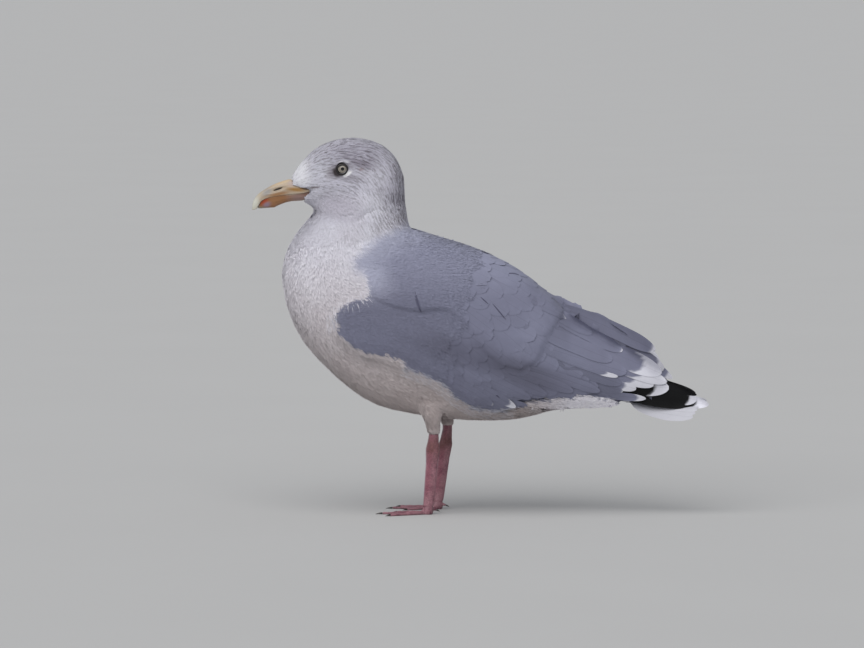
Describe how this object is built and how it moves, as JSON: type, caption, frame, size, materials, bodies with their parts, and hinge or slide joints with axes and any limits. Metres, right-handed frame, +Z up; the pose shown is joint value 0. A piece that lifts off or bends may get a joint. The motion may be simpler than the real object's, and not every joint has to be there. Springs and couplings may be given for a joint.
{
  "type": "herring gull, standing adult, still model",
  "caption": "Life-size standing adult herring gull in winter plumage with folded wings, closed bill and webbed feet; a still display model with no joints.",
  "frame": {"origin": "on the floor, under the middle of the whole bird's bounding box", "axes": "-X points where the bill points, +X to the tail, -Y to the bird's left side, +Z up"},
  "size_m": [0.511, 0.1442, 0.4235],
  "materials": {
    "white_feathers": "soft white body feathers",
    "grey_feathers": "smooth blue-grey wing and mantle feathers",
    "black_feathers": "black wing-tip feathers with white tips",
    "leg_skin": "scaly dull pink skin",
    "claw_horn": "dark horn",
    "bill_horn": "yellow horn with a red spot",
    "eye": "glossy pale iris with a black pupil"
  },
  "bodies": {
    "root": {"head": "white_feathers", "neck": "white_feathers", "trunk": "white_feathers", "tail": "white_feathers", "wing_left": "grey_feathers", "wing_right": "grey_feathers", "primaries_left": "black_feathers", "primaries_right": "black_feathers", "thigh_left": "white_feathers", "thigh_right": "white_feathers", "shank_left": "leg_skin", "shank_right": "leg_skin", "foot_left": "leg_skin", "foot_right": "leg_skin", "claw_left_outer": "claw_horn", "claw_left_middle": "claw_horn", "claw_left_inner": "claw_horn", "claw_left_hind": "claw_horn", "claw_right_outer": "claw_horn", "claw_right_middle": "claw_horn", "claw_right_inner": "claw_horn", "claw_right_hind": "claw_horn", "bill_upper": "bill_horn", "bill_lower": "bill_horn", "eye_left": "eye", "eye_right": "eye"}
  },
  "joints": []
}
